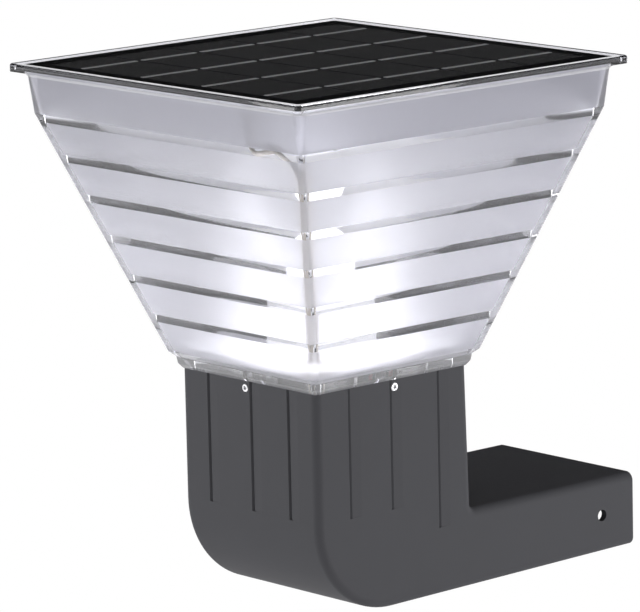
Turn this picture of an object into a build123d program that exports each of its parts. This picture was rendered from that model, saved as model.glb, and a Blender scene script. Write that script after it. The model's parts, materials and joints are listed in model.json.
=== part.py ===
from build123d import *
import os

# A fence light held by a wall: a hollow L-shaped housing, a clear funnel-shaped shade on top of its column,
# and a solar panel set flush in the shade's rim. Millimetres. The origin is in the middle of the arm's open
# wall end, +Y points into the wall and +Z up. Heights with "head" in their place count from the column's top.

# ---- housing: column, elbow and arm ----
column_width = 86.6
column_height = 96.1  # top of the column down to the arm's underside
column_lean = 1.7  # how far the column's back leans out on its way down to the arm
arm_reach = 141.7  # wall end to the column's axis
arm_height = 32.7  # at the wall end
underside_drop = 2.7  # how far the underside comes down on its way to the front
housing_wall = 3.0
elbow_radius = 41.5
armpit_radius = 2.0
column_corner = 3.5  # rounding of the column, the elbow and the arm's underside
arm_corner = 3.8  # rounding of the arm's top and the column's back
hollow_corner = 1.5

# grooves down the column, with a shallow ramp on one side
groove_front = (-25.8, 1.7, 25.5)  # places across the front face
groove_side = (-24.75, -1.15, 25.95)  # places across a side face, from the column's axis
groove_length = 56.0
groove_rear_length = 68.5  # the side face's rear groove runs down onto the arm
groove_depth = 1.0
groove_lip = 0.7  # steep side's width
groove_floor = 0.9  # gentle side's width
ramp_depth = 0.3
ramp_width = 6.0

# fixing holes through the arm's two side walls, for screws into a bracket on the wall
fixing_hole = 5.2
fixing_inset = 19.0  # from the wall end

# ---- shade ----
shade_height = 132.1  # column top to the rim's top
shade_wall = 2.7  # measured across, at one height
shade_corner = 1.6
foot_flare = 1.4  # the foot starts flush with the column and flares out by this
foot_flare_height = 2.0
flange_height = 5.0
flange_draft = 0.5
skirt_height = 7.1  # where the straight faces begin
skirt_flare = 2.3
rim_overhang = 4.1  # rim past the collar
rim_wall = 2.75  # clear border round the panel
rim_thickness = 3.4
rim_corner = 2.5
rim_round = 1.0
cove_radius = 2.6
collar_height = 18.1
collar_flare = 3.2
collar_corner = 5.6
ledge_count = 6
ledge_riser = 3.5  # height of the clear step under each ledge
seat_height = 4.6  # shelf for the lamp tray, above the foot
seat_width = 6.2
seat_rise = 3.4  # height over which the wall comes in to the shelf
spigot_depth = 12.0
spigot_wall = 2.4
spigot_clearance = 0.4
boss_width = 7.0
boss_depth = 4.5
boss_drop = 10.0

# screws that hold the shade, one through each face of the column
shade_screw_drop = 3.2
shade_screw_front = -1.8  # beside the middle groove of the front face
shade_screw_side = 1.25  # beside the middle groove of a side face
shade_screw_head = 3.8
shade_screw_shank = 2.5
shade_screw_length = 7.0
shade_screw_head_height = 1.5
shade_screw_socket = 2.0
screw_clearance = 0.1

# seal in a rebate round the column's mouth
seal_width = 1.2
seal_depth = 1.5
seal_clearance = 0.05

# ---- solar panel ----
panel_width = 180.0
panel_clearance = 0.25
panel_gasket_height = 0.6
panel_board_height = 1.1
panel_cover_height = 0.9
panel_corner = 1.2
cell_rows = 5
cell_length = 156.0
cell_width = 31.2
cell_gap = 1.4
cell_height = 0.25
ribbon_count = 4
ribbon_pitch = 39.0
ribbon_width = 2.2
ribbon_length = 29.4
ribbon_height = 0.12
cover_cavity_height = 0.45
cover_cavity_margin = 2.0  # past the cells
outlet_size = (12.0, 8.0, 3.0)
outlet_side_inset = 48.0  # lead outlet's middle, in from the panel's right edge
outlet_front_inset = 28.0  # and in from its front edge

# ---- lamp in the shade's foot ----
tray_clearance = 0.3
tray_thickness = 1.6
tray_upstand = 1.8
tray_border = 1.0
tray_screw_spread = 20.0
lamp_board_width = 64.0
lamp_board_height = 1.6
lamp_count = 6
lamp_pitch = 9.0
lamp_size = (3.5, 2.8, 0.8)
lamp_screw_place = 28.0
lamp_lead_place = 28.0
grommet_place = 34.4
grommet_width = 4.0
grommet_flange = 0.7
grommet_flange_height = 1.0
grommet_height = 5.4  # above the tray's underside
grommet_clearance = 0.1

# ---- gear in the column ----
tower_drop = 46.0  # tops of the screw towers, below the column's top
tower_diameter = 8.0
tower_x = 31.0
tower_front = -31.0
tower_rear = 29.0
tower_rib = 2.0
tower_pilot_depth = 10.0
gear_plate_height = 2.4
gear_plate_size = (72.0, 69.0)
gear_plate_y = -1.0
battery_diameter = 18.5
battery_length = 66.0
battery_y = -16.0
battery_lift = 1.0
battery_clearance = 0.15
saddle_x = 22.0
saddle_width = 5.0
saddle_wall = 2.6
strap_width = 9.0
strap_thickness = 1.2
strap_foot = 6.5
board_size = (56.0, 28.0)
board_thickness = 1.6
board_y = 17.0
board_post_diameter = 5.0
board_post_height = 3.0
board_hole_inset = 4.0
coil_diameter = 9.0
coil_height = 5.0
coil_places = (-12.0, 14.0)
driver_chip = (7.0, 5.0, 1.6)
driver_chip_x = -1.0
timer_chip = (3.0, 3.0, 1.2)
timer_chip_x = 5.5
socket_size = (7.0, 5.0, 5.0)
socket_pitch = 12.0
socket_inset = 6.0  # sockets' middle line, in from the board's rear edge
plug_size = (5.0, 3.2, 3.0)

# small pan-head screws: head diameter, head height, shank diameter
gear_screw = (5.0, 1.9, 2.6)
small_screw = (3.4, 1.2, 1.8)

# ---- push switch in the elbow's floor ----
switch_y = 18.0  # behind the column's axis
switch_barrel = 11.8
switch_barrel_height = 8.0  # above the floor
switch_hole_clearance = 0.1
switch_seat_gap = 0.5  # flat seat past the bezel's edge
bezel_diameter = 15.5
bezel_height = 1.6
switch_seal_height = 0.8
switch_nut_width = 15.0
switch_nut_height = 2.5
switch_case = 8.2
switch_case_height = 12.0
terminal_size = (0.8, 2.4, 3.0)
terminal_pitch = 5.0
button_diameter = 8.0
button_clearance = 0.08
button_shoulder = 0.8  # shoulder past the stem, which the bezel's lip keeps in
button_proud = 2.6
button_travel = 1.8
button_gap = 0.35
button_round = 1.2
lip_height = 2.0
shoulder_height = 3.8

# ---- leads ----
panel_lead_diameter = 2.0
lead_diameter = 1.7
lead_corner_gap = 3.4  # panel lead's middle, in from the shade's inner corner
lead_wall_gap = 5.2  # and in from the collar
panel_lead_bend = 4.0
panel_lead_drop = 5.0  # the panel lead turns down this far in front of its outlet
corner_bend = 8.0  # where the panel lead turns down the corner
tight_bend = 2.5
lead_bend = 5.0
battery_lead_side = 4.0  # the battery lead leaves the cell beside its middle
battery_lead_reach = 3.3  # and turns this far past its end
battery_lead_bend = 1.6
lead_rise = 12.0  # leads come down onto their plugs from this height
switch_lead_rise = 8.0

# ---- places worked out from the sizes above ----
column_y = -arm_reach
column_top = column_height - arm_height / 2
column_half = column_width / 2
front_y = column_y - column_half
back_y = column_y + column_half
arm_top = arm_height / 2
underside = -arm_height / 2
bezel_rear = -column_y - switch_y - bezel_diameter / 2  # from the wall end
switch_floor = underside + underside_drop * bezel_rear / front_y  # flat seat for the push switch
floor_top = switch_floor + housing_wall
back_slope = column_lean / (column_top - arm_top)
bulkhead_y = back_y - housing_wall + back_slope * (column_top - floor_top)
hollow_half = column_half - housing_wall
head = Plane(origin=(0, column_y, column_top))

flange_low_half = column_half + foot_flare
flange_high_half = flange_low_half + flange_draft
skirt_half = flange_high_half + skirt_flare
rim_half = panel_width / 2 + panel_clearance + rim_wall
collar_top = shade_height - rim_thickness
collar_low = collar_top - collar_height
collar_top_half = rim_half - rim_overhang
shade_top_half = collar_top_half - collar_flare
ledge_pitch = (collar_low - skirt_height) / ledge_count
shade_slope = (shade_top_half - skirt_half) / (collar_low - skirt_height)
spigot_half = hollow_half - spigot_clearance
spigot_inner = spigot_half - spigot_wall
seat_half = spigot_inner + seat_width
panel_recess = panel_gasket_height + panel_board_height + panel_cover_height
panel_floor = shade_height - panel_recess
outlet_place = (panel_width / 2 - outlet_side_inset, outlet_front_inset - panel_width / 2)
tray_half = seat_half - tray_clearance
tray_top = seat_height + tray_thickness
tray_screw_x = spigot_inner + seat_width / 2
gear_plate_top = gear_plate_height - tower_drop
battery_z = gear_plate_top + battery_lift + battery_diameter / 2
board_low = gear_plate_top + board_post_height
board_top = board_low + board_thickness
plug_top = board_top + socket_size[2] + plug_size[2]


def shade_inner(height):
    # half width inside the shade's straight faces
    return skirt_half + shade_slope * (height - skirt_height) - shade_wall


def collar_inner(height):
    return shade_top_half + collar_flare * (height - collar_low) / collar_height - shade_wall


def at_head(x, y, z):
    # a point counted from the column's axis and top
    return (x, column_y + y, column_top + z)


def funnel(sections):
    # a straight-sided tower through (half width, corner radius, height above the column's top)
    with BuildPart() as tower:
        for half, corner, height in sections:
            with BuildSketch(head.offset(height)):
                RectangleRounded(2 * half, 2 * half, corner)
        loft(ruled=True)
    return tower.part


def pan_screw(sizes, length):
    # head on top of the origin, shank down
    head_diameter, head_height, shank_diameter = sizes
    with BuildPart() as screw:
        with BuildSketch():
            Circle(head_diameter / 2)
        extrude(amount=head_height)
        fillet(screw.faces().sort_by(Axis.Z)[-1].edges(), head_height / 2)
        with BuildSketch():
            Circle(shank_diameter / 2)
        extrude(amount=-length)
    return screw.part


def lead(start, corners, end, diameter):
    # a round lead along straight runs, with a tangent bend of its own radius at each corner
    with BuildPart() as run:
        with BuildLine():
            points = [start, *[point for point, bend in corners], end]
            route = FilletPolyline(*points, radius=[bend for point, bend in corners])
        with BuildSketch(Plane(origin=route @ 0, z_dir=route % 0)):
            Circle(diameter / 2)
        sweep()
    return run.part


def save(block, name):
    block.part.label = name
    export_step(block.part, f"parts/{name}.step")


# ================= housing =================
with BuildPart() as column_hollow:
    with BuildSketch(Plane.YZ) as column_hollow_view:
        with BuildLine():
            Polyline(
                (front_y + housing_wall, column_top),
                (front_y + housing_wall, floor_top),
                (bulkhead_y, floor_top),
                (back_y - housing_wall, column_top),
                close=True,
            )
        make_face()
        low_corners = column_hollow_view.vertices().group_by(Axis.Y)[0].sort_by(Axis.X)
        fillet(low_corners[0], elbow_radius - housing_wall)
        fillet(low_corners[1], hollow_corner)
    extrude(amount=hollow_half, both=True)
    hollow_sides = column_hollow.faces().filter_by(Axis.X).edges()
    fillet(hollow_sides.filter_by(lambda edge: edge.center().Z < column_top - 1), hollow_corner)

with BuildPart() as arm_hollow:
    with BuildSketch(Plane.XZ):
        RectangleRounded(2 * hollow_half, arm_height - 2 * housing_wall, hollow_corner)
    extrude(amount=-bulkhead_y - housing_wall)

with BuildPart() as towers:
    with BuildSketch(head.offset(-tower_drop)):
        tower_places = [(x, y) for x in (-tower_x, tower_x) for y in (tower_front, tower_rear)]
        with Locations(*tower_places):
            Circle(tower_diameter / 2)
        for x, y in tower_places:
            side = 1 if x > 0 else -1
            rib_length = hollow_half - tower_x
            with Locations((side * (tower_x + rib_length / 2), y)):
                Rectangle(rib_length, tower_rib)
    extrude(amount=-column_height)
    add(column_hollow.part, mode=Mode.INTERSECT)

with BuildPart() as grooves:
    groove_outline = (
        (-groove_lip, groove_depth),
        (-groove_lip, 0),
        (0, -groove_depth),
        (groove_floor, -ramp_depth),
        (ramp_width, 0),
        (ramp_width, groove_depth),
    )
    for x in groove_front:
        with BuildSketch(Plane(origin=(x, front_y, column_top), x_dir=(1, 0, 0), z_dir=(0, 0, -1))):
            Polygon(*groove_outline, align=None)
        extrude(amount=groove_length)
    for y in groove_side:
        run_length = groove_rear_length if y == max(groove_side) else groove_length
        place = (column_half, column_y + y, column_top)
        with BuildSketch(Plane(origin=place, x_dir=(0, 1, 0), z_dir=(0, 0, -1))) as side_groove:
            Polygon(*groove_outline, align=None)
        extrude(amount=run_length)
        mirror(extrude(side_groove.sketch, amount=-run_length, mode=Mode.PRIVATE), about=Plane.YZ)

shade_screw_places = (
    Plane(origin=at_head(shade_screw_front, -column_half, -shade_screw_drop), z_dir=(0, -1, 0)),
    Plane(origin=at_head(shade_screw_front, column_half, -shade_screw_drop), z_dir=(0, 1, 0)),
    Plane(origin=at_head(column_half, shade_screw_side, -shade_screw_drop), z_dir=(1, 0, 0)),
    Plane(origin=at_head(-column_half, shade_screw_side, -shade_screw_drop), z_dir=(-1, 0, 0)),
)

with BuildPart() as housing:
    with BuildSketch(Plane.YZ) as side_view:
        with BuildLine():
            Polyline(
                (front_y, column_top),
                (front_y, underside - underside_drop),
                (0, underside),
                (0, arm_top),
                (back_y + column_lean, arm_top),
                (back_y, column_top),
                close=True,
            )
        make_face()
        fillet(side_view.vertices().group_by(Axis.Y)[2].sort_by(Axis.X)[0], armpit_radius)
        fillet(side_view.vertices().group_by(Axis.Y)[0].sort_by(Axis.X)[0], elbow_radius)
    extrude(amount=column_half, both=True)
    outline = housing.faces().filter_by(Axis.X).edges()
    outline = outline.filter_by(lambda edge: edge.center().Z < column_top - 1 and edge.center().Y < -1)
    front_run = outline.filter_by(lambda e: e.center().Y < column_y or e.center().Z < underside + 1)
    back_run = outline.filter_by(lambda e: e.center().Y > column_y and e.center().Z > underside + 1)
    fillet(front_run, column_corner)
    fillet(back_run, arm_corner)
    add(column_hollow.part, mode=Mode.SUBTRACT)
    add(arm_hollow.part, mode=Mode.SUBTRACT)
    add(towers.part)
    with Locations(*[head.offset(-tower_drop) * Pos(x, y) for x, y in tower_places]):
        Hole(gear_screw[2] / 2, depth=tower_pilot_depth)
    add(grooves.part, mode=Mode.SUBTRACT)
    with BuildSketch(head):
        RectangleRounded(2 * (hollow_half + seal_width), 2 * (hollow_half + seal_width), hollow_corner)
    extrude(amount=-seal_depth, mode=Mode.SUBTRACT)
    with Locations(*shade_screw_places):
        CounterBoreHole(
            shade_screw_shank / 2 + screw_clearance,
            shade_screw_head / 2 + screw_clearance,
            shade_screw_head_height,
            depth=2 * housing_wall,
        )
    with Locations(Plane(origin=(column_half, -fixing_inset, 0), z_dir=(1, 0, 0))):
        Hole(fixing_hole / 2, depth=column_width)
    with Locations(Plane(origin=at_head(0, switch_y, switch_floor - column_top), z_dir=(0, 0, -1))):
        Hole(switch_barrel / 2 + switch_hole_clearance, depth=2 * housing_wall)
        Cylinder(
            bezel_diameter / 2 + switch_seat_gap,
            underside_drop,
            align=(Align.CENTER, Align.CENTER, Align.MIN),
            mode=Mode.SUBTRACT,
        )

# ================= shade =================
shade_body = funnel(
    [
        (column_half, shade_corner, 0),
        (flange_low_half, shade_corner, foot_flare_height),
        (flange_high_half, shade_corner, flange_height),
        (skirt_half, shade_corner, skirt_height),
        (shade_top_half, shade_corner, collar_low),
        (collar_top_half, collar_corner, collar_top),
    ]
)
spigot_body = funnel([(spigot_half, hollow_corner, -spigot_depth), (spigot_half, hollow_corner, 0)])
spigot_bore = funnel(
    [(spigot_inner, hollow_corner, -spigot_depth), (spigot_inner, hollow_corner, seat_height)]
)
tier_hollows = []
for step in range(ledge_count):
    low = skirt_height + step * ledge_pitch
    riser_low = low + ledge_pitch - ledge_riser
    start = seat_height + seat_rise if step == 0 else low
    tier_hollows.append(
        funnel(
            [
                (shade_inner(start), shade_corner, start),
                (shade_inner(riser_low), shade_corner, riser_low),
                (shade_inner(riser_low), shade_corner, low + ledge_pitch),
            ]
        )
    )
seat_hollow = funnel(
    [
        (seat_half, shade_corner, seat_height),
        (shade_inner(seat_height + seat_rise), shade_corner, seat_height + seat_rise),
    ]
)
collar_hollow = funnel(
    [
        (collar_inner(collar_low), shade_corner, collar_low),
        (collar_inner(panel_floor), collar_corner - shade_wall, panel_floor),
    ]
)

with BuildPart() as shade:
    add(shade_body)
    with BuildSketch(head.offset(collar_top)):
        RectangleRounded(2 * rim_half, 2 * rim_half, rim_corner)
    extrude(amount=rim_thickness)
    fillet(shade.faces().sort_by(Axis.Z)[-1].edges(), rim_round)
    neck = shade.edges().filter_by(lambda edge: abs(edge.center().Z - column_top - collar_top) < 0.01)
    fillet(neck.filter_by(lambda edge: edge.center().Y - column_y < rim_half - 1
                          and edge.center().Y - column_y > 1 - rim_half
                          and abs(edge.center().X) < rim_half - 1), cove_radius)
    for hollow in (*tier_hollows, seat_hollow, collar_hollow):
        add(hollow, mode=Mode.SUBTRACT)
    with BuildSketch(head.offset(panel_floor)):
        panel_hole = panel_width + 2 * panel_clearance
        RectangleRounded(panel_hole, panel_hole, panel_corner + panel_clearance)
    extrude(amount=panel_recess, mode=Mode.SUBTRACT)
    add(spigot_body)
    add(spigot_bore, mode=Mode.SUBTRACT)
    with BuildSketch(head.offset(seat_height)):
        boss_middle = spigot_inner - boss_depth / 2
        with Locations((shade_screw_front, -boss_middle), (shade_screw_front, boss_middle)):
            Rectangle(boss_width, boss_depth)
        with Locations((boss_middle, shade_screw_side), (-boss_middle, shade_screw_side)):
            Rectangle(boss_depth, boss_width)
    extrude(amount=-seat_height - boss_drop)
    with Locations(*shade_screw_places):
        Hole(shade_screw_shank / 2, depth=shade_screw_head_height + shade_screw_length + screw_clearance)
    with Locations(head.offset(seat_height)):
        with GridLocations(2 * tray_screw_x, 2 * tray_screw_spread, 2, 2):
            Hole(small_screw[2] / 2, depth=seat_height - 1)

with BuildPart() as shade_gasket:
    with BuildSketch(head):
        seal_outer = hollow_half + seal_width - seal_clearance
        RectangleRounded(2 * seal_outer, 2 * seal_outer, hollow_corner)
        seal_inner = spigot_half + seal_clearance
        RectangleRounded(2 * seal_inner, 2 * seal_inner, hollow_corner, mode=Mode.SUBTRACT)
    extrude(amount=-seal_depth)

with BuildPart() as shade_screw:
    with BuildSketch():
        Circle(shade_screw_head / 2)
    extrude(amount=-shade_screw_head_height)
    chamfer(shade_screw.faces().sort_by(Axis.Z)[-1].edges(), shade_screw_head_height / 5)
    with BuildSketch(Plane.XY.offset(-shade_screw_head_height)):
        Circle(shade_screw_shank / 2)
    extrude(amount=-shade_screw_length)
    with BuildSketch():
        RegularPolygon(shade_screw_socket / 2, 6)
    extrude(amount=-2 * shade_screw_head_height / 3, mode=Mode.SUBTRACT)

with BuildPart() as shade_screws:
    with Locations(*shade_screw_places):
        add(shade_screw.part)

# ================= solar panel =================
with BuildPart() as panel_gasket:
    with BuildSketch(head.offset(panel_floor)):
        RectangleRounded(panel_width, panel_width, panel_corner)
        gasket_inner = 2 * collar_inner(panel_floor)
        RectangleRounded(gasket_inner, gasket_inner, collar_corner - shade_wall, mode=Mode.SUBTRACT)
    extrude(amount=panel_gasket_height)

with BuildPart() as panel_board:
    with BuildSketch(head.offset(panel_floor + panel_gasket_height)):
        RectangleRounded(panel_width, panel_width, panel_corner)
    extrude(amount=panel_board_height)

board_surface = shade_height - panel_cover_height
cell_pitch = cell_width + cell_gap
with BuildPart() as solar_cells:
    with BuildSketch(head.offset(board_surface)):
        with GridLocations(0, cell_pitch, 1, cell_rows):
            Rectangle(cell_length, cell_width)
    extrude(amount=cell_height)

with BuildPart() as cell_ribbons:
    with BuildSketch(head.offset(board_surface + cell_height)):
        with GridLocations(ribbon_pitch, cell_pitch, ribbon_count, cell_rows):
            Rectangle(ribbon_width, ribbon_length)
    extrude(amount=ribbon_height)

with BuildPart() as panel_cover:
    with BuildSketch(head.offset(board_surface)):
        RectangleRounded(panel_width, panel_width, panel_corner)
    extrude(amount=panel_cover_height)
    chamfer(panel_cover.faces().sort_by(Axis.Z)[-1].edges(), panel_cover_height / 4)
    with BuildSketch(head.offset(board_surface)):
        cavity_depth = cell_rows * cell_pitch + 2 * cover_cavity_margin
        Rectangle(cell_length + 2 * cover_cavity_margin, cavity_depth)
    extrude(amount=cover_cavity_height, mode=Mode.SUBTRACT)

with BuildPart() as lead_outlet:
    with BuildSketch(head.offset(panel_floor + panel_gasket_height)):
        with Locations(outlet_place):
            RectangleRounded(outlet_size[0], outlet_size[1], 1)
    extrude(amount=-outlet_size[2])
    fillet(lead_outlet.faces().sort_by(Axis.Z)[0].edges(), 0.8)

# ================= lamp =================
with BuildPart() as lamp_tray:
    with BuildSketch(head.offset(seat_height)):
        RectangleRounded(2 * tray_half, 2 * tray_half, shade_corner)
    extrude(amount=tray_thickness)
    with BuildSketch(head.offset(tray_top)):
        RectangleRounded(2 * tray_half, 2 * tray_half, shade_corner)
        tray_inner = tray_half - tray_border
        RectangleRounded(2 * tray_inner, 2 * tray_inner, shade_corner / 2, mode=Mode.SUBTRACT)
    extrude(amount=tray_upstand)
    with Locations(head.offset(tray_top)):
        with GridLocations(2 * tray_screw_x, 2 * tray_screw_spread, 2, 2):
            Hole(small_screw[2] / 2 + screw_clearance, depth=tray_thickness)
        with GridLocations(2 * lamp_screw_place, 2 * lamp_screw_place, 2, 2):
            Hole(small_screw[2] / 2, depth=tray_thickness)
        with Locations((0, lamp_lead_place)):
            Hole(lead_diameter, depth=tray_thickness)
    with BuildSketch(head.offset(seat_height)):
        with Locations((grommet_place, -grommet_place)):
            grommet_hole = grommet_width + 2 * grommet_clearance
            Rectangle(grommet_hole, grommet_hole)
    extrude(amount=tray_thickness, mode=Mode.SUBTRACT)

with BuildPart() as tray_screws:
    with Locations(head.offset(tray_top)):
        with GridLocations(2 * tray_screw_x, 2 * tray_screw_spread, 2, 2):
            add(pan_screw(small_screw, tray_thickness + seat_height - 2))

with BuildPart() as lead_grommet:
    with BuildSketch(head.offset(seat_height)):
        with Locations((grommet_place, -grommet_place)):
            Rectangle(grommet_width, grommet_width)
    extrude(amount=grommet_height)
    with BuildSketch(head.offset(tray_top)):
        with Locations((grommet_place, -grommet_place)):
            flange_width = grommet_width + 2 * grommet_flange
            RectangleRounded(flange_width, flange_width, grommet_flange)
    extrude(amount=grommet_flange_height)
    with Locations(head.offset(seat_height + grommet_height) * Pos(grommet_place, -grommet_place)):
        Hole(panel_lead_diameter / 2 + seal_clearance, depth=grommet_height)

with BuildPart() as lamp_board:
    with BuildSketch(head.offset(tray_top)):
        RectangleRounded(lamp_board_width, lamp_board_width, 2)
        with GridLocations(2 * lamp_screw_place, 2 * lamp_screw_place, 2, 2):
            Circle(small_screw[2] / 2 + screw_clearance, mode=Mode.SUBTRACT)
    extrude(amount=lamp_board_height)

with BuildPart() as lamp_chips:
    with BuildSketch(head.offset(tray_top + lamp_board_height)):
        with GridLocations(lamp_pitch, lamp_pitch, lamp_count, lamp_count):
            Rectangle(lamp_size[0], lamp_size[1])
    extrude(amount=lamp_size[2])

with BuildPart() as lamp_board_screws:
    with Locations(head.offset(tray_top + lamp_board_height)):
        with GridLocations(2 * lamp_screw_place, 2 * lamp_screw_place, 2, 2):
            add(pan_screw(small_screw, lamp_board_height + tray_thickness))

# ================= gear in the column =================
with BuildPart() as gear_plate:
    with BuildSketch(head.offset(gear_plate_top)):
        with Locations((0, gear_plate_y)):
            RectangleRounded(gear_plate_size[0], gear_plate_size[1], 2)
        with Locations(*tower_places):
            Circle(gear_screw[2] / 2 + screw_clearance, mode=Mode.SUBTRACT)
    extrude(amount=-gear_plate_height)
    with BuildSketch(head.offset(gear_plate_top)):
        with Locations((-saddle_x, battery_y), (saddle_x, battery_y)):
            Rectangle(saddle_width, battery_diameter + 2 * saddle_wall)
    extrude(amount=battery_z - gear_plate_top)
    with Locations(Plane(origin=at_head(0, battery_y, battery_z), z_dir=(1, 0, 0))):
        Cylinder(battery_diameter / 2 + battery_clearance, battery_length, mode=Mode.SUBTRACT)
    board_holes = [
        (x, board_y + y)
        for x in (board_hole_inset - board_size[0] / 2, board_size[0] / 2 - board_hole_inset)
        for y in (board_hole_inset - board_size[1] / 2, board_size[1] / 2 - board_hole_inset)
    ]
    with BuildSketch(head.offset(gear_plate_top)):
        with Locations(*board_holes):
            Circle(board_post_diameter / 2)
    extrude(amount=board_post_height)
    strap_reach = battery_diameter / 2 + battery_clearance + strap_thickness + strap_foot / 2
    strap_holes = [(0, battery_y - strap_reach), (0, battery_y + strap_reach)]
    with Locations(head.offset(gear_plate_top)):
        with Locations(*strap_holes):
            Hole(small_screw[2] / 2, depth=gear_plate_height)
    with Locations(head.offset(board_low)):
        with Locations(*board_holes):
            Hole(small_screw[2] / 2, depth=board_post_height)

with BuildPart() as gear_plate_screws:
    with Locations(*[head.offset(gear_plate_top) * Pos(x, y) for x, y in tower_places]):
        add(pan_screw(gear_screw, gear_plate_height + tower_pilot_depth - 2))

with BuildPart() as battery_cell:
    with Locations(Plane(origin=at_head(0, battery_y, battery_z), z_dir=(1, 0, 0))):
        Cylinder(battery_diameter / 2, battery_length)
    fillet(battery_cell.edges(), 0.8)

with BuildPart() as battery_strap:
    strap_inner = battery_diameter / 2 + battery_clearance
    strap_outer = strap_inner + strap_thickness
    with BuildSketch(Plane(origin=at_head(0, battery_y, battery_z), x_dir=(0, 1, 0), z_dir=(1, 0, 0))):
        leg_height = battery_z - gear_plate_top
        Circle(strap_outer)
        with Locations((0, -leg_height / 2)):
            Rectangle(2 * strap_outer, leg_height)
        with Locations((0, strap_thickness / 2 - leg_height)):
            Rectangle(2 * (strap_outer + strap_foot), strap_thickness)
        Circle(strap_inner, mode=Mode.SUBTRACT)
        with Locations((0, -leg_height)):
            Rectangle(2 * strap_inner, 2 * leg_height, mode=Mode.SUBTRACT)
    extrude(amount=strap_width / 2, both=True)
    with Locations(head.offset(gear_plate_top + strap_thickness)):
        with Locations(*strap_holes):
            Hole(small_screw[2] / 2 + screw_clearance, depth=strap_thickness)

with BuildPart() as strap_screws:
    with Locations(*[head.offset(gear_plate_top + strap_thickness) * Pos(x, y) for x, y in strap_holes]):
        add(pan_screw(small_screw, strap_thickness + gear_plate_height))

with BuildPart() as control_board:
    with BuildSketch(head.offset(board_low)):
        with Locations((0, board_y)):
            Rectangle(board_size[0], board_size[1])
        with Locations(*board_holes):
            Circle(small_screw[2] / 2 + screw_clearance, mode=Mode.SUBTRACT)
    extrude(amount=board_thickness)

with BuildPart() as control_board_screws:
    with Locations(*[head.offset(board_top) * Pos(x, y) for x, y in board_holes]):
        add(pan_screw(small_screw, board_thickness + board_post_height - 1))

with BuildPart() as control_chips:
    chip_y = board_y - board_size[1] / 4
    with Locations(*[head.offset(board_top) * Pos(x, chip_y) for x in coil_places]):
        Cylinder(coil_diameter / 2, coil_height, align=(Align.CENTER, Align.CENTER, Align.MIN))
    with Locations(head.offset(board_top) * Pos(driver_chip_x, chip_y)):
        Box(*driver_chip, align=(Align.CENTER, Align.CENTER, Align.MIN))
    with Locations(head.offset(board_top) * Pos(timer_chip_x, chip_y)):
        Box(*timer_chip, align=(Align.CENTER, Align.CENTER, Align.MIN))

socket_y = board_y + board_size[1] / 2 - socket_inset
socket_places = [(socket_pitch * (slot - 1.5), socket_y) for slot in range(4)]
with BuildPart() as lead_sockets:
    with BuildSketch(head.offset(board_top)):
        with Locations(*socket_places):
            Rectangle(socket_size[0], socket_size[1])
    extrude(amount=socket_size[2])

with BuildPart() as lead_plugs:
    with BuildSketch(head.offset(board_top + socket_size[2])):
        with Locations(*socket_places):
            Rectangle(plug_size[0], plug_size[1])
    extrude(amount=plug_size[2])

# ================= push switch =================
floor_plane = head.offset(switch_floor - column_top) * Pos(0, switch_y)
seal_plane = floor_plane * Pos(0, 0, -switch_seal_height)
bezel_face = floor_plane * Pos(0, 0, -switch_seal_height - bezel_height)
barrel_length = switch_seal_height + housing_wall + switch_barrel_height
stem_bore = button_diameter / 2 + button_clearance
shoulder_bore = stem_bore + button_shoulder
shoulder_bore_depth = button_gap + shoulder_height + button_travel + button_gap

with BuildPart() as switch_body:
    with Locations(seal_plane):
        Cylinder(switch_barrel / 2, barrel_length, align=(Align.CENTER, Align.CENTER, Align.MIN))
        Cylinder(bezel_diameter / 2, bezel_height, align=(Align.CENTER, Align.CENTER, Align.MAX))
    chamfer(switch_body.faces().sort_by(Axis.Z)[0].edges(), bezel_height / 3)
    with Locations(seal_plane * Pos(0, 0, barrel_length)):
        Box(switch_case, switch_case, switch_case_height, align=(Align.CENTER, Align.CENTER, Align.MIN))
        with Locations((0, 0, switch_case_height)):
            with GridLocations(terminal_pitch, 0, 2, 1):
                Box(*terminal_size, align=(Align.CENTER, Align.CENTER, Align.MIN))
    with Locations(bezel_face):
        Cylinder(stem_bore, lip_height, align=(Align.CENTER, Align.CENTER, Align.MIN), mode=Mode.SUBTRACT)
    with Locations(bezel_face * Pos(0, 0, lip_height)):
        Cylinder(
            shoulder_bore,
            shoulder_bore_depth,
            align=(Align.CENTER, Align.CENTER, Align.MIN),
            mode=Mode.SUBTRACT,
        )

with BuildPart() as switch_seal:
    with Locations(floor_plane):
        Cylinder(bezel_diameter / 2 - 0.5, switch_seal_height, align=(Align.CENTER, Align.CENTER, Align.MAX))
        seal_bore = switch_barrel / 2 + seal_clearance
        Cylinder(seal_bore, 2 * switch_seal_height, mode=Mode.SUBTRACT)

with BuildPart() as switch_nut:
    with BuildSketch(Plane(floor_plane * Pos(0, 0, housing_wall))):
        RegularPolygon(switch_nut_width / 2, 6, major_radius=False)
        Circle(switch_barrel / 2 + seal_clearance, mode=Mode.SUBTRACT)
    extrude(amount=switch_nut_height)

with BuildPart() as power_button:
    with Locations(bezel_face * Pos(0, 0, -button_proud)):
        stem_length = button_proud + lip_height + button_gap
        Cylinder(button_diameter / 2, stem_length, align=(Align.CENTER, Align.CENTER, Align.MIN))
    fillet(power_button.faces().sort_by(Axis.Z)[0].edges(), button_round)
    with Locations(bezel_face * Pos(0, 0, lip_height + button_gap)):
        shoulder_radius = button_diameter / 2 + button_shoulder
        Cylinder(shoulder_radius, shoulder_height, align=(Align.CENTER, Align.CENTER, Align.MIN))

# ================= leads =================
def plug_end(slot):
    x, y = socket_places[slot]
    return at_head(x, y, plug_top)


def above_plug(slot, rise):
    x, y = socket_places[slot]
    return at_head(x, y, plug_top + rise)


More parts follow.
